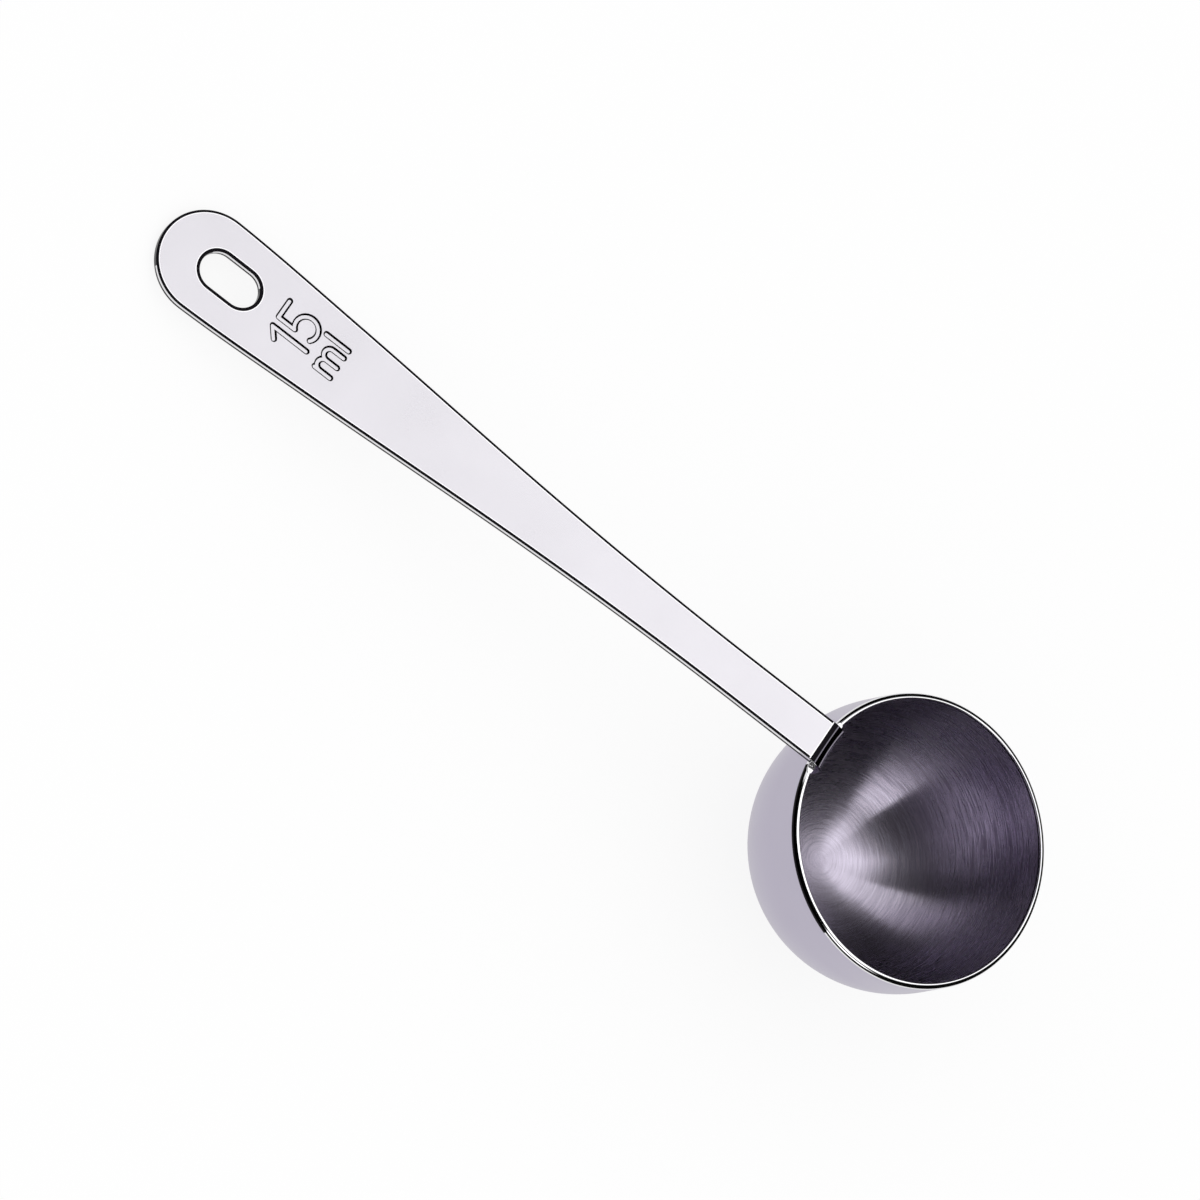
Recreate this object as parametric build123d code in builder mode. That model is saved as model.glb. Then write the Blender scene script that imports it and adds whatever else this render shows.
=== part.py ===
# A stainless steel measuring spoon of 15 ml: a deep-drawn bowl and a blanked strap handle.
# The strap passes over the rim, turns down inside the bowl and is welded to its wall.
# Lengths are millimetres and +Z is up. The spoon stands level on z = 0, on the bottom of
# its bowl and the end of its handle, which points to -X. x = 0 is the middle of its length.
import os
from math import acos, asin, atan2, cos, degrees, hypot, pi, radians, sin, tan

from build123d import *

# bowl
bowl_inner_radius = 16.95
bowl_wall = 0.75
upright_depth = 5.35  # upright wall, from the rim down to the half sphere
rim_outer_round = 0.36
rim_inner_round = 0.08

# handle strap, with places measured from over the outside of the bowl towards the tip
strap_thickness = 0.95
handle_length = 98.9
neck_width = 5.65
neck_length = 12.0  # parallel part
end_radius = 6.5
end_flare_angle = 2.5  # degrees, of each side where the round end starts
strap_edge_round = 0.14
rim_gap = 0.1  # under the strap, at the outside of the rim

# Two points of each flared side: how far along from the neck to the round end's centre,
# and how far out from the neck's side to the end's radius.
waist_run_share, waist_spread_share = 0.398, 0.238
shoulder_run_share, shoulder_spread_share = 0.771, 0.758

# tongue, the part of the strap that lies inside the bowl
tongue_depth = 8.0  # below the rim
tongue_corner_radius = 1.8
tongue_clearance = 0.04
bend_outer_radius = 1.5
bend_inner_radius = 0.2

# hanging slot
slot_length = 8.3
slot_width = 5.0
slot_margin = 5.6  # from the tip of the handle

# stamped capacity mark, a number above its unit
mark_margin = 3.1  # from the slot
mark_depth = 0.16
stroke_width = 0.55
number_height = 5.0
one_width = 1.3
one_flag_drop = 1.0
five_width = 2.5
five_bowl_radius = 1.5
figure_gap = 1.35
line_gap = 0.8
unit_height = 3.3
arch_radius = 0.78  # of the letter m
m_height = 2.3
letter_gap = 1.1

# welds between the tongue and the wall
nugget_radius = 0.9
nugget_spacing = 2.6
nugget_depth = 3.6  # below the rim
seam_rim_run = 1.35  # from the side of the strap, over the whole rim
seam_wall_run = 3.4  # from the side of the strap, on the inside
seam_depth = 4.6  # below the rim
seam_proud = 0.12  # above the rim

# overrun of cuts past the faces that they open
overrun = 1.0

bowl_outer_radius = bowl_inner_radius + bowl_wall
bowl_height = bowl_outer_radius + upright_depth
neck_half = neck_width / 2
tongue_outer_radius = bowl_inner_radius - tongue_clearance
tongue_inner_radius = tongue_outer_radius - strap_thickness

# The tilt of the handle sets its lowest edge on z = 0, level with the bottom of the bowl.
edge_reach = hypot(handle_length - strap_edge_round, strap_edge_round)
edge_angle = atan2(strap_edge_round, handle_length - strap_edge_round)
strap_tilt = asin((bowl_height + rim_gap - strap_edge_round) / edge_reach) + edge_angle
tip_reach = (
    (handle_length - strap_edge_round) * cos(strap_tilt)
    + (strap_thickness - strap_edge_round) * sin(strap_tilt)
    + strap_edge_round
)
bowl_x = tip_reach / 2

# The strap plane is its upper face: x towards the tip, origin over the outside of the bowl.
strap_direction = Vector(-cos(strap_tilt), 0, -sin(strap_tilt))
strap_normal = Vector(-sin(strap_tilt), 0, cos(strap_tilt))
strap_under = Vector(bowl_x - bowl_outer_radius, 0, bowl_height + rim_gap)
strap_face_origin = strap_under + strap_normal * strap_thickness
strap_plane = Plane(origin=strap_face_origin, x_dir=strap_direction, z_dir=strap_normal)
mark_plane = Plane(origin=strap_face_origin, x_dir=(0, 1, 0), z_dir=strap_normal)

bowl_axis = Axis((bowl_x, 0, 0), (0, 0, 1))
bowl_section = Plane(origin=(bowl_x, 0, 0), x_dir=(-1, 0, 0), z_dir=(0, 1, 0))
rim_plane = Plane.XY.offset(bowl_height)


def cup_outline(radius, top):
    """Half section of a solid cup: a quarter circle from the axis, then straight up."""
    bottom = bowl_outer_radius - radius
    middle = (radius * sin(pi / 4), bowl_outer_radius - radius * cos(pi / 4))
    ThreePointArc((0, bottom), middle, (radius, bowl_outer_radius))
    Polyline((radius, bowl_outer_radius), (radius, top), (0, top), (0, bottom))


# Spot weld nuggets, half in the tongue and half in the wall.
nugget_start = tongue_inner_radius + strap_thickness / 2
nugget_end = bowl_inner_radius + bowl_wall / 2
nugget_plane = Plane(
    origin=(bowl_x - nugget_start, 0, bowl_height - nugget_depth),
    x_dir=(0, 1, 0),
    z_dir=(-1, 0, 0),
)
with BuildPart() as spot_welds:
    with BuildSketch(nugget_plane):
        with GridLocations(nugget_spacing, 0, 2, 1):
            Circle(nugget_radius)
    extrude(amount=nugget_end - nugget_start)

# The bowl is one drawn shell with a flat rim, rounded on its outer edge.
with BuildPart() as bowl:
    with BuildSketch(bowl_section):
        with BuildLine():
            cup_outline(bowl_outer_radius, bowl_height)
        make_face()
    revolve(axis=bowl_axis)
    with BuildSketch(bowl_section):
        with BuildLine():
            cup_outline(bowl_inner_radius, bowl_height + overrun)
        make_face()
    revolve(axis=bowl_axis, mode=Mode.SUBTRACT)
    outer_rim_edge = bowl.edges().group_by(Axis.Z)[-1].sort_by(SortBy.LENGTH)[-1]
    fillet(outer_rim_edge, rim_outer_round)
    inner_rim_edge = bowl.edges().group_by(Axis.Z)[-1].sort_by(SortBy.LENGTH)[0]
    fillet(inner_rim_edge, rim_inner_round)
    add(spot_welds.part, mode=Mode.SUBTRACT)

# The tongue follows the inside of the bowl, with rounded lower corners.
strap_rise = strap_thickness / cos(strap_tilt) + bowl_outer_radius * tan(strap_tilt)
tongue_top = bowl_height + rim_gap + strap_rise
tongue_view = Plane(
    origin=(bowl_x, 0, bowl_height - tongue_depth),
    x_dir=(0, -1, 0),
    z_dir=(-1, 0, 0),
)
with BuildPart() as tongue:
    with BuildSketch(bowl_section):
        with BuildLine():
            cup_outline(tongue_outer_radius, tongue_top)
        make_face()
    revolve(axis=bowl_axis)
    with BuildSketch(bowl_section):
        with BuildLine():
            cup_outline(tongue_inner_radius, tongue_top + overrun)
        make_face()
    revolve(axis=bowl_axis, mode=Mode.SUBTRACT)
    with BuildSketch(tongue_view) as tongue_front:
        tongue_reach = tongue_top + overrun - bowl_height + tongue_depth
        Rectangle(neck_width, tongue_reach, align=(Align.CENTER, Align.MIN))
        fillet(tongue_front.vertices().group_by(Axis.Y)[0], tongue_corner_radius)
    extrude(amount=bowl_outer_radius, mode=Mode.INTERSECT)

# Outline of the strap: a parallel neck, a long flare and a round end.
flare = radians(end_flare_angle)
flare_run = handle_length - end_radius - neck_length
flare_spread = end_radius - neck_half
flare_end_x = handle_length - end_radius - end_radius * sin(flare)
flare_end_y = end_radius * cos(flare)
root_x = tongue_inner_radius - bowl_outer_radius - neck_half
slot_centre = handle_length - slot_margin - slot_length / 2

with BuildPart() as handle:
    with BuildSketch(strap_plane):
        with BuildLine():
            Line((root_x, neck_half), (neck_length, neck_half))
            Spline(
                (neck_length, neck_half),
                (
                    neck_length + waist_run_share * flare_run,
                    neck_half + waist_spread_share * flare_spread,
                ),
                (
                    neck_length + shoulder_run_share * flare_run,
                    neck_half + shoulder_spread_share * flare_spread,
                ),
                (flare_end_x, flare_end_y),
                tangents=[(1, 0), (cos(flare), sin(flare))],
            )
            mirror(about=Plane.XZ)
            ThreePointArc(
                (flare_end_x, flare_end_y), (handle_length, 0), (flare_end_x, -flare_end_y)
            )
            Line((root_x, neck_half), (root_x, -neck_half))
        make_face()
        with Locations((slot_centre, 0)):
            SlotOverall(slot_length, slot_width, mode=Mode.SUBTRACT)
    extrude(amount=-strap_thickness)
    with BuildSketch(rim_plane):
        with Locations((bowl_x, 0)):
            Circle(tongue_inner_radius)
    extrude(amount=strap_rise + overrun, mode=Mode.SUBTRACT)
    add(tongue.part)
    split(bisect_by=strap_plane, keep=Keep.BOTTOM)
    add(spot_welds.part, mode=Mode.SUBTRACT)
    bend_top = (bowl_x - tongue_inner_radius, 0, tongue_top)
    fillet(handle.edges().sort_by_distance(bend_top)[0], bend_outer_radius)
    bend_inside = (bowl_x - tongue_outer_radius, 0, bowl_height + rim_gap)
    fillet(handle.edges().sort_by_distance(bend_inside)[0], bend_inner_radius)
    long_edges = handle.faces().filter_by(GeomType.PLANE).sort_by(SortBy.AREA)[-2:].edges()
    long_edges = long_edges.filter_by_position(Axis.X, -handle_length, strap_under.X)
    fillet(long_edges, strap_edge_round)

# Mark in its own plane: x to the right of a reader, y up towards the tip of the handle.
number_base = slot_centre - slot_length / 2 - mark_margin - number_height
unit_base = number_base - line_gap - unit_height
number_top = number_base + number_height
number_right = (one_width + figure_gap + five_width) / 2
one_x = one_width - number_right
five_left = number_right - five_width
five_centre = (number_right - five_bowl_radius, number_base + five_bowl_radius)
five_turn = degrees(acos((five_bowl_radius - five_width) / five_bowl_radius))
five_joint_y = five_centre[1] + five_bowl_radius * sin(radians(five_turn))
unit_right = (4 * arch_radius + letter_gap) / 2
m_left = -unit_right
arch_base = unit_base + m_height - arch_radius


def straight_stroke(start, end):
    """Round-ended stroke between two points of the mark."""
    middle = ((start[0] + end[0]) / 2, (start[1] + end[1]) / 2)
    SlotCenterPoint(middle, end, stroke_width)


def round_stroke(centre, radius, start_angle, turn):
    """Round-ended stroke along an arc of the mark."""
    SlotArc(Edge.make_circle(radius, Plane(centre), start_angle, start_angle + turn), stroke_width)


with BuildPart() as mark:
    with BuildSketch(mark_plane):
        straight_stroke((one_x, number_base), (one_x, number_top))
        straight_stroke((one_x, number_top), (-number_right, number_top - one_flag_drop))
        straight_stroke((five_left, number_top), (number_right, number_top))
        straight_stroke((five_left, number_top), (five_left, five_joint_y))
        round_stroke(five_centre, five_bowl_radius, -five_turn, 2 * five_turn)
        for stem in range(3):
            stem_x = m_left + 2 * stem * arch_radius
            straight_stroke((stem_x, unit_base), (stem_x, arch_base))
        for arch in range(2):
            arch_centre = (m_left + (2 * arch + 1) * arch_radius, arch_base)
            round_stroke(arch_centre, arch_radius, 0, 180)
        straight_stroke((m_left, unit_base), (m_left, unit_base + m_height))
        straight_stroke((unit_right, unit_base), (unit_right, unit_base + unit_height))
    extrude(amount=-mark_depth)

with BuildPart() as marked_handle:
    add(handle.part)
    add(mark.part, mode=Mode.SUBTRACT)


def around_bowl(radius, run):
    """Point at a radius from the bowl's axis, a run along the rim from the strap's side."""
    angle = asin(neck_half / bowl_inner_radius) + run / bowl_inner_radius
    return (bowl_x - radius * cos(angle), radius * sin(angle))


# Seam welds fill the corners between the strap, the rim and the wall, one on each side.
inside_corner = (bowl_x - (tongue_inner_radius**2 - neck_half**2) ** 0.5, neck_half)
wall_middle = bowl_inner_radius + bowl_wall / 2
past_bowl = bowl_outer_radius + overrun
with BuildPart() as seam_welds:
    with BuildSketch(rim_plane):
        Polygon(
            inside_corner,
            (bowl_x - wall_middle, neck_half),
            around_bowl(wall_middle, seam_wall_run),
            around_bowl(bowl_inner_radius, seam_wall_run),
            align=None,
        )
    extrude(amount=-seam_depth)
    with BuildSketch(rim_plane.offset(seam_proud)):
        Polygon(
            inside_corner,
            (bowl_x - past_bowl, neck_half),
            around_bowl(past_bowl, seam_rim_run),
            around_bowl(bowl_inner_radius, seam_rim_run),
            align=None,
        )
    extrude(amount=-seam_proud - rim_outer_round)
    mirror(about=Plane.XZ)
    with BuildSketch(rim_plane.offset(seam_proud)):
        with Locations((bowl_x, 0)):
            Circle(bowl_outer_radius)
    extrude(amount=-seam_proud - seam_depth, mode=Mode.INTERSECT)
    add(bowl.part, mode=Mode.SUBTRACT)
    add(handle.part, mode=Mode.SUBTRACT)

os.makedirs("parts", exist_ok=True)
bowl.part.label = "bowl"
export_step(bowl.part, "parts/bowl.step")
marked_handle.part.label = "handle"
export_step(marked_handle.part, "parts/handle.step")
seam_welds.part.label = "seam_welds"
export_step(seam_welds.part, "parts/seam_welds.step")
spot_welds.part.label = "spot_welds"
export_step(spot_welds.part, "parts/spot_welds.step")

hemisphere = 2 / 3 * pi * bowl_inner_radius**3
print("brim capacity", round(hemisphere + pi * bowl_inner_radius**2 * upright_depth, 1), "mm3")
print("handle tilt", round(degrees(strap_tilt), 2), "degrees, bowl axis at x", round(bowl_x, 3))
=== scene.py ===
from math import asin, atan2, cos, degrees, hypot, pi, radians, sin, sqrt

import bmesh
import bpy
from mathutils import Matrix, Vector
from mathutils.geometry import interpolate_bezier


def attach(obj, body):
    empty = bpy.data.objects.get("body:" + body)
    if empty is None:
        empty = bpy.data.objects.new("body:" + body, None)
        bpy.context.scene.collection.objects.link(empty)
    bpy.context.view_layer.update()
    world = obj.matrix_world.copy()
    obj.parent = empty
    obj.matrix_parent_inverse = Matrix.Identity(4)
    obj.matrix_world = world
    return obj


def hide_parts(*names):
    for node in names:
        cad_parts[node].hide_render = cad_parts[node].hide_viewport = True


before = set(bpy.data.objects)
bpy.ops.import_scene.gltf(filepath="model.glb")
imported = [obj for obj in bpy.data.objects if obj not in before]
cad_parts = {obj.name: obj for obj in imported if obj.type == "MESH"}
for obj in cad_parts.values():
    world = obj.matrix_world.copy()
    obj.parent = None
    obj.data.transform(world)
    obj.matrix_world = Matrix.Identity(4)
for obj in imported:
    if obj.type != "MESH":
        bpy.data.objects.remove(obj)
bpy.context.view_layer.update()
print("loaded", sorted(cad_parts))

mm = 0.001
near = 0.002  # points nearer than this, in mm, are one point

# Where the pieces meet, in mm
place = {
    "bowlX": 48.1696,  # the bowl's axis
    "rimHeight": 23.05,
    "overRim": (30.4696, 0.0, 23.15),  # under the strap, over the outside of the bowl
    "strapTilt": 13.554,  # degrees
    "strapThickness": 0.95,
}
tilt = radians(place["strapTilt"])
strapAlong = Vector((-cos(tilt), 0, -sin(tilt)))
strapUp = Vector((-sin(tilt), 0, cos(tilt)))
strapAcross = strapUp.cross(strapAlong)
strapTop = Vector(place["overRim"]) + strapUp * place["strapThickness"]

# From the strap's frame: x along it to the tip, z out of its upper face
strapToRow = Matrix.Translation(strapTop) @ Matrix(
    (strapAlong, strapAcross, strapUp)
).transposed().to_4x4()


# A number in a finish: an expression on it adds its Math nodes
class Level:
    def __init__(self, finish, socket):
        self.finish = finish
        self.socket = socket

    def maths(self, operation, *others):
        inputs = dict(enumerate((self,) + others))
        return self.finish.node("ShaderNodeMath", {"operation": operation}, inputs)

    def __add__(self, other):
        return self.maths("ADD", other)

    def __mul__(self, other):
        return self.maths("MULTIPLY", other)

    def __sub__(self, other):
        return self.maths("SUBTRACT", other)

    def __rsub__(self, other):
        return self.finish.node("ShaderNodeMath", {"operation": "SUBTRACT"}, {0: other, 1: self})

    __radd__ = __add__
    __rmul__ = __mul__


# A material made of nodes
class Finish:
    def __init__(self, name):
        self.material = bpy.data.materials.new(name)
        self.material.use_nodes = True
        self.tree = self.material.node_tree
        self.tree.nodes.clear()

    def node(self, kind, settings=None, inputs=None, output=0):
        made = self.tree.nodes.new(kind)
        for key, value in (settings or {}).items():
            setattr(made, key, value)
        for key, value in (inputs or {}).items():
            if isinstance(value, Level):
                self.tree.links.new(value.socket, made.inputs[key])
            else:
                made.inputs[key].default_value = value
        return Level(self, made.outputs[output]) if made.outputs else None

    # Object coordinates in millimetres, moved by a shift
    def spot(self, shift=(0, 0, 0)):
        coords = self.node("ShaderNodeTexCoord", output="Object")
        return self.node(
            "ShaderNodeMapping",
            {"vector_type": "POINT"},
            {"Vector": coords, "Location": shift, "Scale": (1 / mm, 1 / mm, 1 / mm)},
        )

    def noise(self, vector, scale, detail=2.0, roughness=0.5):
        return self.node(
            "ShaderNodeTexNoise",
            {"noise_dimensions": "3D"},
            {"Vector": vector, "Scale": scale, "Detail": detail, "Roughness": roughness},
        )

    def blend(self, factor, first, second):
        return self.node(
            "ShaderNodeMix", {"data_type": "RGBA"}, {0: factor, 6: first, 7: second}, output=2
        )

    def bump(self, height, strength, distance):
        return self.node(
            "ShaderNodeBump",
            None,
            {"Height": height, "Strength": strength, "Distance": distance},
            output="Normal",
        )

    # From nought to one as a number passes a level, or back with a negative softness
    def ease(self, value, level, softness):
        reach = abs(softness)
        ends = {"Value": value, "From Min": level - reach, "From Max": level + reach}
        if softness < 0:
            ends.update({"To Min": 1.0, "To Max": 0.0})
        return self.node("ShaderNodeMapRange", {"interpolation_type": "SMOOTHSTEP"}, ends)

    # The shader and the output
    def metal(self, inputs):
        shader = self.node("ShaderNodeBsdfPrincipled", None, {"Metallic": 1.0, **inputs})
        self.node("ShaderNodeOutputMaterial", None, {"Surface": shader})
        return self.material


# Steel tints, a neutral metal with a little violet: the colour, and its deeper clouds or lines.
# The polished tint also paints highlights, the dim one paints shade on the bend, the nearly black
# one paints dark reflections, and the inside's deep tint also paints shade up its wall
tint = {
    "handle": (0.81, 0.79, 0.835, 1),
    "handleDeep": (0.78, 0.76, 0.805, 1),
    "outside": (0.58, 0.545, 0.65, 1),
    "outsideDeep": (0.55, 0.515, 0.62, 1),
    "inside": (0.828, 0.767, 0.908, 1),
    "insideDeep": (0.37, 0.332, 0.42, 1),
    "polishAndHighlight": (0.95, 0.945, 0.96, 1),
    "polishAndHighlightDeep": (0.90, 0.89, 0.915, 1),
    "paintedDim": (0.20, 0.185, 0.225, 1),
    "paintedDimDeep": (0.16, 0.15, 0.18, 1),
    "paintedBlack": (0.009, 0.008, 0.01, 1),
    "paintedBlackDeep": (0.006, 0.0055, 0.007, 1),
}


satin = {
    "cloud": (0.09, 3.0),  # scale and detail
    "grain": (6.0, 2.0),
    "cloudRough": 0.05,
    "grainRough": 0.04,
    "grainStrength": 0.05,
    "grainDepth": 0.02,
}


def satinSteel(name, light, deep, roughness):
    finish = Finish(name)
    spot = finish.spot()
    cloud = finish.noise(spot, *satin["cloud"])
    grain = finish.noise(spot, *satin["grain"])
    colour = finish.blend(cloud, light, deep)
    middle = (satin["cloudRough"] + satin["grainRough"]) / 2
    rough = cloud * satin["cloudRough"] + grain * satin["grainRough"] + (roughness - middle)
    normal = finish.bump(grain, satin["grainStrength"], satin["grainDepth"] * mm)
    return finish.metal({"Base Color": colour, "Roughness": rough, "Normal": normal})


# The lines that a lathe's cloth leaves round the inside
lathe = {
    "centre": 17.7,  # height of the middle of the round bottom
    "lengthwise": 0.06,  # how fast the lines change along their length
    "pitch": 16.0,  # and across them
    "fine": (5.2, 3.0, 0.6),  # scale, detail and roughness
    "broad": (1.6, 2.0),
    "fineShare": 0.75,
    "faintTo": (0.8, 0.6),  # level and softness, in radians up from the bottom
    "faintest": 0.2,
    "handleSide": (2.8, 1.8),  # level and softness, in mm towards the handle
    "besideHandle": 1.2,
    "strongest": 1.3,
    "contrast": (0.5, 0.15),  # level and softness in the lines themselves
    "wall": (0.9, 0.6),  # where painted shade darkens the wall, and its lines are rougher, in radians
    "wallPaintedShade": 0.5,
    "middle": (0.08, -0.08),
    "middlePaintedShade": 0.26,
    "roughLines": (0.54, 0.14),
    "lineRough": 0.12,
    "strength": 0.5,
    "depth": 0.034,
    "stretch": 0.97,
    "stretchTurn": 0.25,
}


def turnedSteel(name, light, deep, roughness):
    finish = Finish(name)
    spot = finish.spot(shift=(-place["bowlX"], 0, -lathe["centre"]))
    parts = finish.node("ShaderNodeSeparateXYZ", None, {0: spot})
    x, y, z = (Level(finish, parts.socket.node.outputs[axis]) for axis in "XYZ")
    radius = (x * x + y * y).maths("SQRT")
    along = radius.maths("ARCTAN2", z * -1.0)  # angle up from the bottom of the bowl
    flat = lathe["lengthwise"]
    ring = finish.node(
        "ShaderNodeCombineXYZ", None, {"X": x * flat, "Y": y * flat, "Z": along * lathe["pitch"]}
    )
    fine = finish.noise(ring, *lathe["fine"])
    broad = finish.noise(ring, *lathe["broad"])
    handleSide = finish.ease(x * -1.0, *lathe["handleSide"])
    # the lines fade towards the bottom, except beside the handle
    faint = finish.ease(along, *lathe["faintTo"]) * (1 - lathe["faintest"]) + lathe["faintest"]
    faint = (faint + handleSide * lathe["besideHandle"]).maths("MINIMUM", lathe["strongest"])
    lines = fine * lathe["fineShare"] + broad * (1 - lathe["fineShare"])
    lines = (lines - 0.5) * faint + 0.5
    colour = finish.blend(finish.ease(lines, *lathe["contrast"]), light, deep)
    # painted shade: darker up the wall, and at the very bottom
    wall = finish.ease(along, *lathe["wall"])
    middle = finish.ease(along, *lathe["middle"])
    paintedShade = wall * lathe["wallPaintedShade"] + middle * lathe["middlePaintedShade"]
    colour = finish.blend(paintedShade, colour, deep)
    rough = finish.ease(lines, *lathe["roughLines"]) * (wall + handleSide)
    rough = rough * lathe["lineRough"] + roughness
    normal = finish.bump(lines, lathe["strength"], lathe["depth"] * mm)
    return finish.metal(
        {
            "Base Color": colour,
            "Roughness": rough,
            "Normal": normal,
            "Anisotropic": lathe["stretch"],
            "Anisotropic Rotation": lathe["stretchTurn"],
        }
    )


finishes = {
    "inside": turnedSteel("turned_inside", tint["inside"], tint["insideDeep"], 0.235),
    "outside": satinSteel("satin_outside", tint["outside"], tint["outsideDeep"], 0.3),
    # polished steel, which also paints bright highlight lines on the strap
    "polishAndHighlight": satinSteel("polished_edge_and_painted_highlight", tint["polishAndHighlight"], tint["polishAndHighlightDeep"], 0.08),
    "handle": satinSteel("satin_handle", tint["handle"], tint["handleDeep"], 0.26),
    "weld": satinSteel("weld_steel", tint["polishAndHighlight"], tint["polishAndHighlightDeep"], 0.16),
    # painted shade: the bend and the tongue take a dim copy of the steel
    "bend": satinSteel("bent_steel_painted_shade", tint["paintedDim"], tint["paintedDimDeep"], 0.1),
    # painted dark reflection: a nearly black steel for edge lines, the line inside the rim, the
    # band under it, the far sides and the fold
    "paintedDark": satinSteel("painted_dark_reflection", tint["paintedBlack"], tint["paintedBlackDeep"], 0.2),
}
print("finishes made", len(finishes))


# A vertex drawn out to a new spot
def runTo(bm, vert, spot):
    new = bmesh.ops.extrude_vert_indiv(bm, verts=[vert])["verts"][0]
    new.co = spot
    return new


# A vertex swept round a centre, by degrees
def arcFrom(bm, vert, centre, axis, sweep, steps):
    swept = bmesh.ops.spin(
        bm, geom=[vert], cent=centre, axis=axis, angle=radians(sweep), steps=steps
    )
    return next(part for part in swept["geom_last"] if isinstance(part, bmesh.types.BMVert))


# Faces take a finish by its place in the piece's list, and even or flat shading
def dress(faces, index, smooth):
    for face in faces:
        face.material_index = index
        face.smooth = smooth


# The mesh becomes a piece of the spoon, in metres
def finishPiece(bm, name, materials, nodes, move=None):
    bm.transform(Matrix.Scale(mm, 4) @ (move or Matrix()))
    mesh = bpy.data.meshes.new(name)
    bm.to_mesh(mesh)
    bm.free()
    for material in materials:
        mesh.materials.append(material)
    piece = bpy.data.objects.new(name, mesh)
    bpy.context.scene.collection.objects.link(piece)
    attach(piece, "root")
    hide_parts(*nodes)
    return piece


bowl = {
    "innerRadius": 16.95,
    "wall": 0.74,
    "outerRound": 0.55,
    "innerRound": 0.15,
    "lineTop": 0.2,  # painted dark reflection: a dark line round the inside of the rim, below its top
    "lineFoot": 0.5,
    # painted shade: a dark band under the rim outside, on the side of the handle: from, to, and
    # where, in degrees
    "band": (0.2, 0.7),
    "bandReach": (-170, -101),
    "support": 0.04,  # a ring this near to each round keeps the long walls evenly shaded
    "archSteps": 56,
    "roundSteps": 8,
    "turnSteps": 224,
}


def makeBowl():
    inner = bowl["innerRadius"]
    outer = inner + bowl["wall"]
    height = place["rimHeight"]
    away = (0, -1, 0)
    arch, rounds = bowl["archSteps"], bowl["roundSteps"]
    outerRound, innerRound, support = bowl["outerRound"], bowl["innerRound"], bowl["support"]

    bm = bmesh.new()
    vert = bm.verts.new((0, 0, 0))
    vert = arcFrom(bm, vert, (0, 0, outer), away, 90, arch)
    vert = runTo(bm, vert, (outer, 0, height - bowl["band"][1]))
    vert = runTo(bm, vert, (outer, 0, height - outerRound - support))
    vert = runTo(bm, vert, (outer, 0, height - outerRound))
    vert = arcFrom(bm, vert, (outer - outerRound, 0, height - outerRound), away, 90, rounds)
    vert = runTo(bm, vert, (outer - outerRound - support, 0, height))
    vert = runTo(bm, vert, (inner + innerRound + support, 0, height))
    vert = runTo(bm, vert, (inner + innerRound, 0, height))
    vert = arcFrom(bm, vert, (inner + innerRound, 0, height - innerRound), away, 90, rounds)
    vert = runTo(bm, vert, (inner, 0, height - bowl["lineTop"]))
    vert = runTo(bm, vert, (inner, 0, height - bowl["lineFoot"]))
    vert = runTo(bm, vert, (inner, 0, outer))
    arcFrom(bm, vert, (0, 0, outer), (0, 1, 0), 90, arch)
    bmesh.ops.spin(
        bm,
        geom=bm.verts[:] + bm.edges[:],
        cent=(0, 0, 0),
        axis=(0, 0, 1),
        angle=2 * pi,
        steps=bowl["turnSteps"],
        use_merge=True,
    )
    bmesh.ops.remove_doubles(bm, verts=bm.verts[:], dist=near)
    bmesh.ops.recalc_face_normals(bm, faces=bm.faces[:])
    middle = inner + bowl["wall"] / 2
    for face in bm.faces:
        face.smooth = True
        spot = face.calc_center_median()
        radius = hypot(spot.x, spot.y, min(spot.z - outer, 0))
        drop = height - spot.z
        bearing = degrees(atan2(spot.y, spot.x))
        inPaintedBand = bowl["bandReach"][0] < bearing < bowl["bandReach"][1]
        # painted dark reflection and shade: the line inside the rim and the band outside take the
        # nearly black finish
        if radius < middle and bowl["lineTop"] < drop < bowl["lineFoot"]:
            face.material_index = 3
        elif radius > middle and inPaintedBand and bowl["band"][0] < drop < bowl["band"][1]:
            face.material_index = 3
        elif drop < (bowl["lineTop"] if radius < middle else outerRound):
            face.material_index = 2
        elif radius < middle:
            face.material_index = 0
        else:
            face.material_index = 1
    names = ("inside", "outside", "polishAndHighlight", "paintedDark")
    materials = [finishes[name] for name in names]
    move = Matrix.Translation((place["bowlX"], 0, 0))
    return finishPiece(bm, "bowl_shell", materials, ["bowl"], move)


makeBowl()
print("bowl made")

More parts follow.
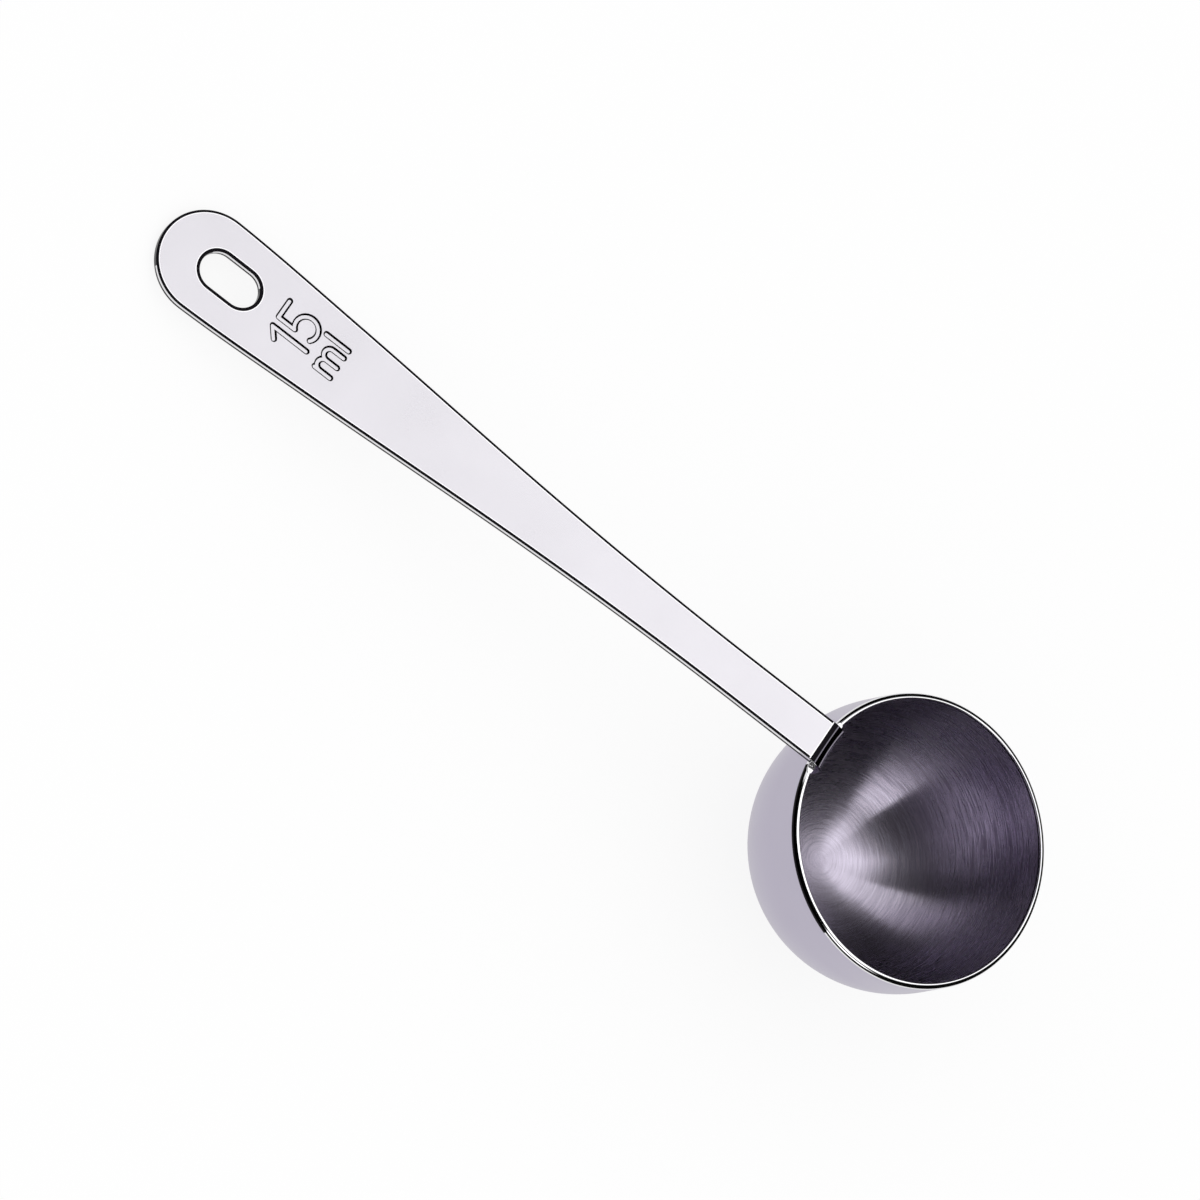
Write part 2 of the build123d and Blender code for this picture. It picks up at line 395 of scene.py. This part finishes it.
strap = {
    "neckHalf": 2.9,
    "root": -6.0,  # the plate is drawn past the bend and cut there
    # along the strap, half width, slope
    "flare": (
        (12.0, 2.9, 0.0),
        (44.0, 3.79, 0.0543),
        (73.99, 5.73, 0.0577),
        (92.1, 6.63, 0.0151),
    ),
    "flareSteps": 24,
    "endCentre": 92.2,
    "endSweep": 90.864,
    "endSteps": 40,
    "slotEnds": (87.5, 90.8),
    "slotRadius": 2.38,
    "slotSteps": 32,
    "edgeRound": 0.1,
    "edgeSteps": 4,
    # rings inside the rounded edge, a painted dark line and then a painted highlight line: each
    # with its width, its finish along the outside, and its finish round the slot
    "edgeRings": ((0.23, 2, 2), (0.1, 1, 2), (0.1, 0, 1)),
    "slotNear": 1.0,  # a face this near to the slot is one of its rings
    "footLine": 0.1,  # painted shade: a dark line at the foot of each side
    "litSide": 0.65,  # painted light and shade: the sides are polished bright where they face this far to the near side, and nearly black elsewhere
    "litTilt": 0.55,
    # a painted highlight line across the face before the bend, then a painted dark line to a step
    # of the bend
    "foldLine": (0.4, 0.28),
    "foldSteps": 8,
    "pressRings": ((4, 0.02), (11, 0.065)),  # rings of the bend pressed proud, and by how much
    "facing": 0.9,  # a face is a side, or the upper face, where it faces this far that way
    "bendRadius": 1.5,
    "bendStart": -0.115,
    "bendSteps": 24,
    "tongueDepth": 8.0,
    "tongueCorner": 1.8,
    "cornerSteps": 8,
    "creases": (-2.4, -1.8, -1.2, -0.6, 0.0, 0.6, 1.2, 1.8, 2.4),
}


def plateOutline(bm):
    half = strap["neckHalf"]
    vert = bm.verts.new((strap["root"], half, 0))
    vert = runTo(bm, vert, (strap["flare"][0][0], half, 0))
    for (x0, y0, slope0), (x1, y1, slope1) in zip(strap["flare"], strap["flare"][1:]):
        third = (x1 - x0) / 3
        points = interpolate_bezier(
            (x0, y0, 0),
            (x0 + third, y0 + slope0 * third, 0),
            (x1 - third, y1 - slope1 * third, 0),
            (x1, y1, 0),
            strap["flareSteps"] + 1,
        )
        for point in points[1:]:
            vert = runTo(bm, vert, point)
    tip = arcFrom(
        bm, vert, (strap["endCentre"], 0, 0), (0, 0, -1), strap["endSweep"], strap["endSteps"]
    )
    tip.co.y = 0
    bmesh.ops.mirror(bm, geom=bm.verts[:] + bm.edges[:], axis="Y", merge_dist=near)
    rootEnds = [v for v in bm.verts if v.co.x < strap["root"] + near]
    bm.edges.new(rootEnds)


def slotOutline(bm):
    low, high = strap["slotEnds"]
    radius = strap["slotRadius"]
    vert = bm.verts.new((low, radius, 0))
    vert = runTo(bm, vert, (high, radius, 0))
    vert = arcFrom(bm, vert, (high, 0, 0), (0, 0, -1), 180, strap["slotSteps"])
    vert = runTo(bm, vert, (low, -radius, 0))
    arcFrom(bm, vert, (low, 0, 0), (0, 0, -1), 180, strap["slotSteps"])


def isBySlot(face):
    spot = face.calc_center_median()
    low, high = strap["slotEnds"]
    reach = strap["slotRadius"] + strap["slotNear"]
    return hypot(spot.x - min(max(spot.x, low), high), spot.y) < reach


def makeStrap():
    thickness = place["strapThickness"]
    edge, steps = strap["edgeRound"], strap["edgeSteps"]
    bm = bmesh.new()
    plateOutline(bm)
    slotOutline(bm)
    bmesh.ops.remove_doubles(bm, verts=bm.verts[:], dist=near)
    bmesh.ops.triangle_fill(bm, use_beauty=True, edges=bm.edges[:], normal=(0, 0, 1))
    bmesh.ops.translate(bm, verts=bm.verts[:], vec=(0, 0, -edge))
    top = bm.faces[:]
    for face in top:
        if face.normal.z < 0:
            face.normal_flip()
    # painted dark reflection: the rounded edge takes the nearly black finish
    for step in range(steps):
        low = pi / 2 * step / steps
        high = pi / 2 * (step + 1) / steps
        ring = bmesh.ops.inset_region(
            bm,
            faces=top,
            thickness=edge * (cos(low) - cos(high)),
            depth=edge * (sin(high) - sin(low)),
            use_boundary=True,
            use_even_offset=True,
        )
        dress(ring["faces"], 2, True)
    for width, outside, besideSlot in strap["edgeRings"]:
        ring = bmesh.ops.inset_region(
            bm, faces=top, thickness=width, use_boundary=True, use_even_offset=True
        )
        dress(ring["faces"], outside, False)
        dress([face for face in ring["faces"] if isBySlot(face)], besideSlot, False)
    for drop in (strap["footLine"], thickness / 2 - edge - strap["footLine"]):
        sides = bmesh.ops.extrude_edge_only(bm, edges=[e for e in bm.edges if e.is_boundary])
        dress([part for part in sides["geom"] if isinstance(part, bmesh.types.BMFace)], 1, True)
        lower = [part for part in sides["geom"] if isinstance(part, bmesh.types.BMVert)]
        bmesh.ops.translate(bm, verts=lower, vec=(0, 0, -drop))
    bmesh.ops.translate(bm, verts=bm.verts[:], vec=(0, 0, thickness / 2))
    bmesh.ops.mirror(
        bm, geom=bm.verts[:] + bm.edges[:] + bm.faces[:], axis="Z", merge_dist=near
    )
    bmesh.ops.translate(bm, verts=bm.verts[:], vec=(0, 0, -thickness / 2))
    foot = thickness - edge - strap["footLine"]
    bm.normal_update()
    # painted light and shade: smooth faces on the near side are polished bright, the rest and the
    # foot take the nearly black finish
    for face in bm.faces:
        low = -face.calc_center_median().z > foot
        facing = face.normal.y > strap["litSide"] and face.normal.z < strap["litTilt"]
        if face.smooth:
            face.material_index = 1 if facing and not low else 2
    bmesh.ops.bisect_plane(
        bm,
        geom=bm.verts[:] + bm.edges[:] + bm.faces[:],
        plane_co=(strap["bendStart"], 0, 0),
        plane_no=(-1, 0, 0),
        clear_outer=True,
    )

    # the bend over the rim, then the tongue down the inside of the bowl
    cut = [e for e in bm.edges if e.is_boundary]
    turn = 90 + place["strapTilt"]
    bend = bmesh.ops.spin(
        bm,
        geom=cut,
        cent=(strap["bendStart"], 0, -strap["bendRadius"]),
        axis=(0, -1, 0),
        angle=radians(turn),
        steps=strap["bendSteps"],
    )
    last = [part for part in bend["geom_last"] if isinstance(part, bmesh.types.BMEdge)]
    downWards = Vector((sin(tilt), 0, -cos(tilt)))
    bendCentre = strapToRow @ Vector((strap["bendStart"], 0, -strap["bendRadius"]))
    tongueFoot = place["rimHeight"] - strap["tongueDepth"]
    corner = strap["tongueCorner"]
    half = strap["neckHalf"]
    runs = [(bendCentre.z - tongueFoot - corner, half)]
    for step in range(strap["cornerSteps"]):
        low = pi / 2 * step / strap["cornerSteps"]
        high = pi / 2 * (step + 1) / strap["cornerSteps"]
        runs.append((corner * (sin(high) - sin(low)), half - corner + corner * cos(high)))
    width = half
    for run, newWidth in runs:
        grown = bmesh.ops.extrude_edge_only(bm, edges=last)["geom"]
        edges = [part for part in grown if isinstance(part, bmesh.types.BMEdge)]
        last = [edge for edge in edges if edge.is_boundary]
        verts = [part for part in grown if isinstance(part, bmesh.types.BMVert)]
        bmesh.ops.translate(bm, verts=verts, vec=downWards * run)
        bmesh.ops.scale(bm, verts=verts, vec=(1, newWidth / width, 1))
        width = newWidth
    bmesh.ops.edgeloop_fill(bm, edges=last)
    bmesh.ops.recalc_face_normals(bm, faces=bm.faces[:])
    for ring, proud in strap["pressRings"]:
        sweep = radians(turn * ring / strap["bendSteps"])
        out = Vector((-sin(sweep), 0, cos(sweep)))
        level = Vector((strap["bendStart"], 0, -strap["bendRadius"])) + out * strap["bendRadius"]
        for vert in bm.verts:
            if hypot(vert.co.x - level.x, vert.co.z - level.z) < 4 * near:
                vert.co += out * proud
    for crease in strap["creases"]:
        faces = [f for f in bm.faces if f.calc_center_median().x < strap["bendStart"]]
        edges = {e for f in faces for e in f.edges}
        verts = {v for f in faces for v in f.verts}
        bmesh.ops.bisect_plane(
            bm, geom=faces + list(edges) + list(verts), plane_co=(0, crease, 0), plane_no=(0, 1, 0)
        )
    for line in strap["foldLine"]:
        bmesh.ops.bisect_plane(
            bm,
            geom=bm.verts[:] + bm.edges[:] + bm.faces[:],
            plane_co=(strap["bendStart"] + line, 0, 0),
            plane_no=(1, 0, 0),
        )
    # painted shade at the fold: its first steps are nearly black, the rest of the bend and the
    # tongue dim, and the sides polished
    for face in bm.faces:
        spot = face.calc_center_median()
        before = spot.x - strap["bendStart"]
        if before < 0:
            turned = atan2(-before, spot.z + strap["bendRadius"])
            turned *= strap["bendSteps"] / radians(turn)
            pressed = any(-1 < turned - ring < 0 for ring, proud in strap["pressRings"])
            folded = turned < strap["foldSteps"] and not pressed
            face.smooth = not pressed
            face.material_index = 1 if abs(face.normal.y) > strap["facing"] else 2 if folded else 3
        elif before < strap["foldLine"][0] and face.normal.z > strap["facing"]:
            face.material_index = 2 if before < strap["foldLine"][1] else 1
    bm.transform(strapToRow)

    # the tongue follows the round wall
    outer = bowl["innerRadius"] + bowl["wall"]
    bendFrom = (strapToRow @ Vector((strap["bendStart"], 0, 0))).x
    for vert in bm.verts:
        if vert.co.x < bendFrom:
            continue
        radius = place["bowlX"] - vert.co.x
        share = min((vert.co.x - bendFrom) / strap["bendRadius"], 1)
        if vert.co.z < bendCentre.z:
            share = 1
        drop = min(vert.co.z - outer, 0)
        followed = place["bowlX"] - sqrt(radius**2 - vert.co.y**2 - drop**2)
        vert.co.x += (followed - vert.co.x) * share
    return finishPiece(
        bm,
        "handle_strap",
        [finishes[name] for name in ("handle", "polishAndHighlight", "paintedDark", "bend")],
        ["handle"],
    )


# The stamped mark: a plain number and unit, in strokes on the strap's face
mark = {
    "depth": 0.2,
    "over": 0.03,  # the cutter stands above the face
    "faceHalf": 0.44,
    "floorHalf": 0.2,
    "endSides": 20,
    "arcSteps": 20,
    "straights": (
        ((-1.275, 76.9), (-1.275, 81.9)),  # one
        ((-1.275, 81.9), (-2.575, 80.9)),
        ((2.575, 81.9), (0.075, 81.9)),  # five
        ((0.075, 81.9), (0.075, 79.518)),
        ((-2.11, 72.8), (-2.11, 75.1)),  # m
        ((-0.55, 72.8), (-0.55, 74.32)),
        ((1.01, 72.8), (1.01, 74.32)),
        ((2.11, 72.8), (2.11, 76.1)),  # l
    ),
    # centre, radius, from and to, in degrees
    "arcs": (
        ((1.075, 78.4), 1.5, -131.81, 131.81),
        ((-1.33, 74.32), 0.78, 0.0, 180.0),
        ((0.23, 74.32), 0.78, 0.0, 180.0),
    ),
}


def strokeEnd(bm, spot):
    bmesh.ops.create_cone(
        bm,
        cap_ends=True,
        segments=mark["endSides"],
        radius1=mark["floorHalf"],
        radius2=mark["faceHalf"],
        depth=mark["depth"] + mark["over"],
        matrix=Matrix.Translation((*spot, (mark["over"] - mark["depth"]) / 2)),
    )


# The four corners of a stroke's section, across a direction from a spot
def strokeSection(bm, spot, across):
    corners = []
    for half, level in (
        (mark["faceHalf"], mark["over"]),
        (mark["floorHalf"], -mark["depth"]),
        (-mark["floorHalf"], -mark["depth"]),
        (-mark["faceHalf"], mark["over"]),
    ):
        corner = (spot[0] + across[0] * half, spot[1] + across[1] * half, level)
        corners.append(bm.verts.new(corner))
    return [bm.edges.new((corners[k], corners[k - 1])) for k in range(4)]


def stampMark(piece):
    bm = bmesh.new()
    for start, end in mark["straights"]:
        run = Vector(end) - Vector(start)
        edges = strokeSection(bm, start, (-run.normalized().y, run.normalized().x))
        grown = bmesh.ops.extrude_edge_only(bm, edges=edges)["geom"]
        verts = [part for part in grown if isinstance(part, bmesh.types.BMVert)]
        bmesh.ops.translate(bm, verts=verts, vec=(*run, 0))
        strokeEnd(bm, start)
        strokeEnd(bm, end)
    for centre, radius, low, high in mark["arcs"]:
        out = Vector((cos(radians(low)), sin(radians(low))))
        start = Vector(centre) + out * radius
        bmesh.ops.spin(
            bm,
            geom=strokeSection(bm, start, out),
            cent=(*centre, 0),
            axis=(0, 0, 1),
            angle=radians(high - low),
            steps=mark["arcSteps"],
        )
        strokeEnd(bm, start)
        strokeEnd(bm, Vector(centre) + Vector((cos(radians(high)), sin(radians(high)))) * radius)
    bmesh.ops.holes_fill(bm, edges=[e for e in bm.edges if e.is_boundary], sides=4)
    bmesh.ops.recalc_face_normals(bm, faces=bm.faces[:])
    # painted shade: the walls of the strokes take the nearly black finish, their floors the
    # handle's
    for face in bm.faces:
        face.material_index = 0 if face.calc_center_median().z < near - mark["depth"] else 2
    turn = Matrix.Rotation(-pi / 2, 4, "Z")  # the mark reads across the strap
    bm.transform(Matrix.Scale(mm, 4) @ strapToRow @ turn)
    mesh = bpy.data.meshes.new("mark_cutter")
    bm.to_mesh(mesh)
    bm.free()
    for material in piece.data.materials:
        mesh.materials.append(material)
    cutter = bpy.data.objects.new("mark_cutter", mesh)
    bpy.context.scene.collection.objects.link(cutter)
    cutting = piece.modifiers.new("mark", "BOOLEAN")
    cutting.operation = "DIFFERENCE"
    cutting.solver = "EXACT"
    cutting.use_self = True
    cutting.object = cutter
    bpy.context.view_layer.update()
    stamped = bpy.data.meshes.new_from_object(
        piece.evaluated_get(bpy.context.evaluated_depsgraph_get())
    )
    piece.modifiers.clear()
    piece.data = stamped
    bpy.data.objects.remove(cutter)


stampMark(makeStrap())
print("strap made")

# Small weld beads at the rim, and fillets down the sides of the tongue
beads = {
    "rimRadius": 17.2,
    "rimLevel": 22.93,
    "rimHalf": (0.43, 0.27),  # across the rim, upwards
    "groundTo": 23.06,  # the bead on the rim is ground flat at this height
    "rimFrom": 2.5,  # beside the middle of the strap
    "rimTo": 3.95,
    "rimSteps": 10,
    "wallRadius": 16.9,
    "wallSide": 2.86,
    "wallHalf": (0.36, 0.34),
    "wallFrom": 22.8,
    "wallTo": 18.45,
    "wallSteps": 24,
    "ripple": 0.05,
    "sides": 20,
    "taper": 5,  # steps that close the bead's end
    "blunt": 0.15,  # the part of a step that is left open for a small flat end
    "level": 0.99,  # ground faces, which face this far up, are flat
}


# A rippled bead from a ring of edges: each step moves the ring and closes its end in a round
def growBead(bm, edges, steps, moveOn):
    last = edges
    size = 1.0
    bmesh.ops.edgeloop_fill(bm, edges=last)
    for step in range(1, steps + 1):
        grown = bmesh.ops.extrude_edge_only(bm, edges=last)["geom"]
        verts = [part for part in grown if isinstance(part, bmesh.types.BMVert)]
        ends = set(verts)
        last = [
            part
            for part in grown
            if isinstance(part, bmesh.types.BMEdge) and set(part.verts) <= ends
        ]
        moveOn(verts)
        left = steps - step
        newSize = 1 + beads["ripple"] * (-1) ** step
        if left < beads["taper"]:
            closed = (beads["taper"] - left) / (beads["taper"] + beads["blunt"])
            newSize *= sqrt(1 - closed**2)
        middle = sum((v.co for v in verts), Vector()) / len(verts)
        bmesh.ops.scale(
            bm, verts=verts, vec=[newSize / size] * 3, space=Matrix.Translation(-middle)
        )
        size = newSize
    bmesh.ops.edgeloop_fill(bm, edges=last)


def makeBeads():
    bm = bmesh.new()
    rimRadius, wallRadius = beads["rimRadius"], beads["wallRadius"]
    start = asin(beads["rimFrom"] / rimRadius)
    sweep = asin(beads["rimTo"] / rimRadius) - start
    ring = bmesh.ops.create_circle(bm, segments=beads["sides"], radius=1.0)["verts"]
    across, up = beads["rimHalf"]
    bmesh.ops.scale(bm, verts=ring, vec=(across, up, 1))
    bmesh.ops.rotate(bm, verts=ring, matrix=Matrix.Rotation(pi / 2, 3, "X"))
    bmesh.ops.translate(bm, verts=ring, vec=(-rimRadius, 0, beads["rimLevel"]))
    bmesh.ops.rotate(bm, verts=ring, matrix=Matrix.Rotation(-start, 3, "Z"))
    onRim = Matrix.Rotation(-sweep / beads["rimSteps"], 3, "Z")
    growBead(
        bm,
        list({e for v in ring for e in v.link_edges}),
        beads["rimSteps"],
        lambda verts: bmesh.ops.rotate(bm, verts=verts, matrix=onRim),
    )

    bmesh.ops.bisect_plane(
        bm,
        geom=bm.verts[:] + bm.edges[:] + bm.faces[:],
        plane_co=(0, 0, beads["groundTo"]),
        plane_no=(0, 0, 1),
        clear_outer=True,
    )
    bmesh.ops.holes_fill(bm, edges=[e for e in bm.edges if e.is_boundary], sides=0)

    side = beads["wallSide"]
    ring = bmesh.ops.create_circle(bm, segments=beads["sides"], radius=1.0)["verts"]
    bmesh.ops.scale(bm, verts=ring, vec=(*beads["wallHalf"], 1))
    out = -sqrt(wallRadius**2 - side**2)
    bmesh.ops.translate(bm, verts=ring, vec=(out, side, beads["wallFrom"]))
    down = Vector((0, 0, (beads["wallTo"] - beads["wallFrom"]) / beads["wallSteps"]))
    growBead(
        bm,
        list({e for v in ring for e in v.link_edges}),
        beads["wallSteps"],
        lambda verts: bmesh.ops.translate(bm, verts=verts, vec=down),
    )
    bmesh.ops.mirror(bm, geom=bm.verts[:] + bm.edges[:] + bm.faces[:], axis="Y", merge_dist=0)
    bmesh.ops.recalc_face_normals(bm, faces=bm.faces[:])
    dress(bm.faces, 0, True)
    for face in bm.faces:
        face.smooth = face.normal.z < beads["level"]
    move = Matrix.Translation((place["bowlX"], 0, 0))
    finishPiece(bm, "seam_beads", [finishes["weld"]], ["seam_welds"], move)


makeBeads()

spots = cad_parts["spot_welds"]
spots.data.materials.clear()
spots.data.materials.append(finishes["weld"])
print("welds made")

# Studio
studio = {
    "floorHalf": 4000.0,
    "floorShade": (0.96, 0.96, 0.96, 1),
    "floorCloud": 0.02,
    "floorCloudShare": 0.2,
    "floorGlow": 0.85,
    "floorInSteel": 0.84,  # the white of the floor as the steel shows it
    "cardRadius": 120.0,
    "cardHeight": 55.0,
    "cardSteps": 96,
    "cardShades": ((0.002, 0.002, 0.002, 1), (0.004, 0.004, 0.004, 1)),
    "cardGrain": 0.5,
    "tentRadius": 3000.0,
    "tentSegments": (64, 32),
    "tentShade": 0.002,
    "cameraSpot": (-662.7, -843.6, 1692.0),
    "cameraAim": (0.3332, 0.4227, -0.8428),
    "cameraUp": (-0.6544, 0.7472, 0.1160),
    "lens": 506.44,
    "sensor": 36.0,
    "clips": (0.1, 20.0),
}


def makeFloor():
    bm = bmesh.new()
    bmesh.ops.create_grid(bm, x_segments=1, y_segments=1, size=studio["floorHalf"] * mm)
    mesh = bpy.data.meshes.new("floor")
    bm.to_mesh(mesh)
    bm.free()
    finish = Finish("floor_paper")
    spot = finish.spot()
    cloud = finish.noise(spot, studio["floorCloud"]) * studio["floorCloudShare"]
    shade = finish.blend(cloud, studio["floorShade"], (1, 1, 1, 1))
    paper = finish.node("ShaderNodeBsdfDiffuse", None, {"Color": shade})
    ray = finish.node("ShaderNodeLightPath", output="Is Camera Ray")
    rays = ray.socket.node.outputs
    glossy = Level(finish, rays["Is Glossy Ray"])
    seen = ray + glossy + Level(finish, rays["Is Transmission Ray"])
    share = seen * studio["floorGlow"]
    strength = 1 - glossy * (1 - studio["floorInSteel"])
    white = finish.node("ShaderNodeEmission", None, {"Color": (1, 1, 1, 1), "Strength": strength})
    shader = finish.node("ShaderNodeMixShader", None, {0: share, 1: paper, 2: white})
    finish.node("ShaderNodeOutputMaterial", None, {"Surface": shader})
    mesh.materials.append(finish.material)
    floor = bpy.data.objects.new("floor", mesh)
    bpy.context.scene.collection.objects.link(floor)


# Soft boxes as the steel sees them. Each is cut out of the dark tent by bands: across a
# direction, from where to where, with the softness of both ends.
softBoxes = (
    {
        "shade": 1.3,  # overhead
        "bands": (
            ((1.0, 0.0, 0.0), -0.24, 0.50, 0.12, 0.08),
            ((0.0, 1.0, 0.0), -0.11, 0.57, 0.04, 0.10),
            ((0.0, 0.0, 1.0), 0.30, 1.3, 0.10, 0.1),
        ),
    },
    {
        "shade": 1.45,  # its brighter middle
        "bands": (
            ((1.0, 0.0, 0.0), 0.14, 0.51, 0.10, 0.05),
            ((0.0, 1.0, 0.0), 0.06, 0.48, 0.08, 0.06),
        ),
    },
    {
        "shade": 1.5,  # its brightest corner
        "bands": (
            ((1.0, 0.0, 0.0), -0.28, 0.30, 0.08, 0.08),
            ((0.0, 1.0, 0.0), -0.11, 0.28, 0.04, 0.08),
        ),
    },
    {
        "shade": 1.5,  # its side towards the camera
        "bands": (
            ((1.0, 0.0, 0.0), 0.22, 0.45, 0.05, 0.06),
            ((0.0, 1.0, 0.0), -0.20, 0.12, 0.06, 0.06),
        ),
    },
    {
        "shade": 1.75,  # beside the bowl, with a hard edge
        "bands": (
            ((0.985, -0.174, 0.0), 0.255, 1.3, 0.008, 0.1),
            ((0.4, -0.917, 0.0), 0.605, 1.3, 0.04, 0.1),
            ((0.966, 0.259, 0.0), -1.3, 0.42, 0.1, 0.08),
            ((0.0, 0.0, 1.0), 0.50, 1.3, 0.06, 0.1),
        ),
    },
    {
        "shade": 0.85,  # behind the handle
        "bands": (
            ((-0.292, 0.956, 0.0), 0.307, 1.3, 0.03, 0.1),
            ((0.259, 0.966, 0.0), -1.3, 0.44, 0.1, 0.08),
            ((1.0, 0.0, 0.0), -1.3, -0.10, 0.1, 0.15),
            ((0.0, 0.0, 1.0), 0.50, 1.3, 0.08, 0.1),
        ),
    },
)


def makeTent():
    bm = bmesh.new()
    around, upwards = studio["tentSegments"]
    bmesh.ops.create_uvsphere(
        bm, u_segments=around, v_segments=upwards, radius=studio["tentRadius"] * mm
    )
    mesh = bpy.data.meshes.new("light_tent")
    bm.to_mesh(mesh)
    bm.free()
    finish = Finish("light_tent")
    coords = finish.node("ShaderNodeTexCoord", output="Object")
    look = finish.node("ShaderNodeVectorMath", {"operation": "NORMALIZE"}, {0: coords})
    glow = studio["tentShade"]
    for box in softBoxes:
        lit = box["shade"]
        for direction, low, high, softLow, softHigh in box["bands"]:
            across = finish.node(
                "ShaderNodeVectorMath",
                {"operation": "DOT_PRODUCT"},
                {0: look, 1: direction},
                output="Value",
            )
            lit = finish.ease(across, low, softLow) * lit
            lit = finish.ease(across, high, -softHigh) * lit
        glow = lit.maths("MAXIMUM", glow)
    shader = finish.node("ShaderNodeEmission", None, {"Color": (1, 1, 1, 1), "Strength": glow})
    finish.node("ShaderNodeOutputMaterial", None, {"Surface": shader})
    mesh.materials.append(finish.material)
    tent = bpy.data.objects.new("light_tent", mesh)
    bpy.context.scene.collection.objects.link(tent)
    tent.visible_camera = False
    tent.visible_diffuse = False
    tent.visible_transmission = False
    tent.visible_shadow = False


# A ring of black card round the spoon, which only the steel sees: it darkens the rounded edges
def makeCard():
    bm = bmesh.new()
    vert = bm.verts.new((studio["cardRadius"], 0, 0))
    runTo(bm, vert, (studio["cardRadius"], 0, studio["cardHeight"]))
    bmesh.ops.spin(
        bm,
        geom=bm.verts[:] + bm.edges[:],
        cent=(0, 0, 0),
        axis=(0, 0, 1),
        angle=2 * pi,
        steps=studio["cardSteps"],
        use_merge=True,
    )
    bm.transform(Matrix.Scale(mm, 4))
    mesh = bpy.data.meshes.new("black_card")
    bm.to_mesh(mesh)
    bm.free()
    finish = Finish("black_card")
    grain = finish.noise(finish.spot(), studio["cardGrain"])
    shade = finish.blend(grain, *studio["cardShades"])
    shader = finish.node("ShaderNodeBsdfDiffuse", None, {"Color": shade})
    finish.node("ShaderNodeOutputMaterial", None, {"Surface": shader})
    mesh.materials.append(finish.material)
    card = bpy.data.objects.new("black_card", mesh)
    bpy.context.scene.collection.objects.link(card)
    card.visible_camera = False
    card.visible_diffuse = False
    card.visible_transmission = False
    card.visible_shadow = False


def makeWorld():
    world = bpy.data.worlds.new("studio")
    bpy.context.scene.world = world
    world.use_nodes = True
    tree = world.node_tree
    tree.nodes.clear()
    back = tree.nodes.new("ShaderNodeBackground")
    back.inputs["Color"].default_value = (1, 1, 1, 1)
    back.inputs["Strength"].default_value = 1.0
    out = tree.nodes.new("ShaderNodeOutputWorld")
    tree.links.new(back.outputs[0], out.inputs[0])
    world.cycles_visibility.glossy = False


def makeCamera():
    lens = bpy.data.cameras.new("camera")
    lens.sensor_fit = "HORIZONTAL"
    lens.sensor_width = studio["sensor"]
    lens.lens = studio["lens"]
    lens.clip_start, lens.clip_end = studio["clips"]
    camera = bpy.data.objects.new("camera", lens)
    bpy.context.scene.collection.objects.link(camera)
    aim = Vector(studio["cameraAim"]).normalized()
    up = Vector(studio["cameraUp"])
    up = (up - aim * up.dot(aim)).normalized()
    turn = Matrix((aim.cross(up), up, -aim)).transposed().to_4x4()
    camera.matrix_world = Matrix.Translation(Vector(studio["cameraSpot"]) * mm) @ turn
    bpy.context.scene.camera = camera


makeFloor()
makeTent()
makeCard()
makeWorld()
makeCamera()
bpy.context.scene.view_settings.view_transform = "Standard"
print("studio made")
